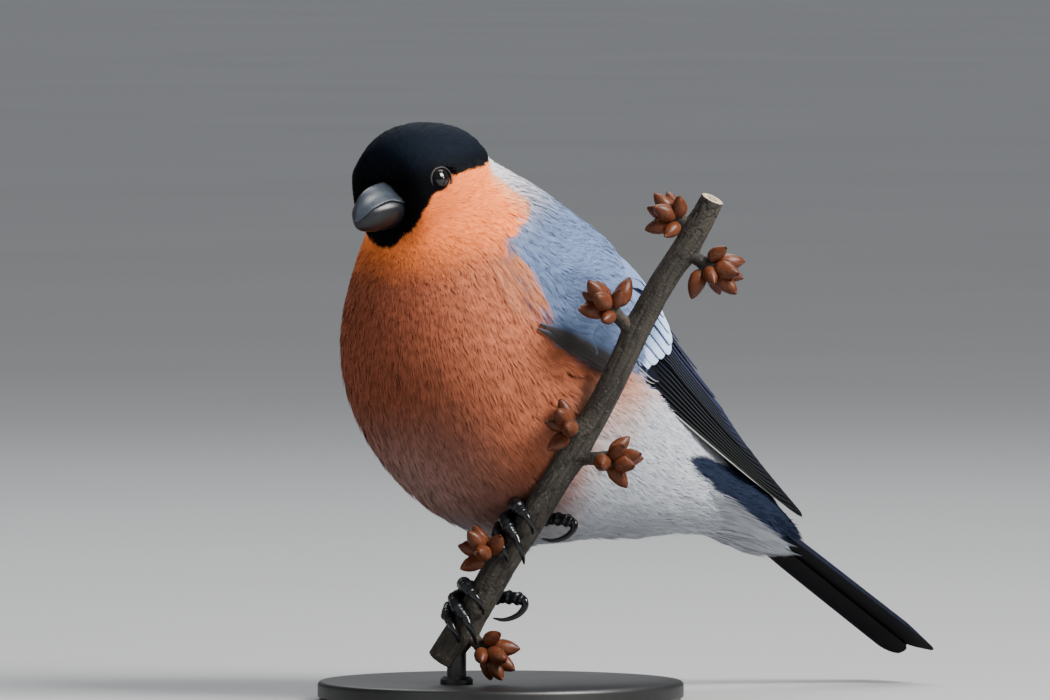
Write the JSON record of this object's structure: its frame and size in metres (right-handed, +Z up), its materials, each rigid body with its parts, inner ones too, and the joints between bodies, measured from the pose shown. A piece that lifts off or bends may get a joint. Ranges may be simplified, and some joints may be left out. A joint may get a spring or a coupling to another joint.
{
  "type": "bullfinch",
  "caption": "Still life-size male bullfinch with folded wings, gripping a short cut twig with bud clusters, held by a rod on a flat round display base.",
  "frame": {"origin": "on the floor under the middle of the bounding box", "axes": "+Z up; the bird's body faces -Y and its left side is +X; the tail runs back and down towards +Y"},
  "size_m": [0.0928, 0.1418, 0.1133],
  "materials": {
    "cap_plumage": "soft black feathers with a faint blue gloss",
    "breast_plumage": "soft orange-salmon to brick feathers",
    "mantle_plumage": "soft blue-grey feathers of the back",
    "vent_plumage": "soft white feathers",
    "wing_feathers": "smooth black vanes, silky",
    "tail_feathers": "glossy blue-black vanes",
    "bill_horn": "slate-black horn, glossy",
    "eye": "very dark brown, wet gloss",
    "leg_skin": "dark scaly skin",
    "claw_horn": "black horn, glossy",
    "bark": "grey-brown bark",
    "bud_scales": "red-brown bud scales, slightly glossy",
    "stand_metal": "satin dark grey paint"
  },
  "bodies": {
    "root": {"head": "cap_plumage", "neck": "mantle_plumage", "torso": "breast_plumage", "rump": "vent_plumage", "bill_upper": "bill_horn", "bill_lower": "bill_horn", "eye_left": "eye", "eye_right": "eye", "wing_left": "wing_feathers", "wing_right": "wing_feathers", "tail": "tail_feathers", "thigh_left": "vent_plumage", "foot_left": "leg_skin", "claw_left_1": "claw_horn", "claw_left_2": "claw_horn", "claw_left_3": "claw_horn", "claw_left_4": "claw_horn", "thigh_right": "vent_plumage", "foot_right": "leg_skin", "claw_right_1": "claw_horn", "claw_right_2": "claw_horn", "claw_right_3": "claw_horn", "claw_right_4": "claw_horn", "perch_buds_1": "bud_scales", "perch_buds_2": "bud_scales", "perch_buds_3": "bud_scales", "perch_buds_4": "bud_scales", "perch_buds_5": "bud_scales", "perch_buds_6": "bud_scales", "perch_buds_7": "bud_scales", "perch_twig": "bark", "stand_rod": "stand_metal", "stand_base": "stand_metal"}
  },
  "joints": []
}
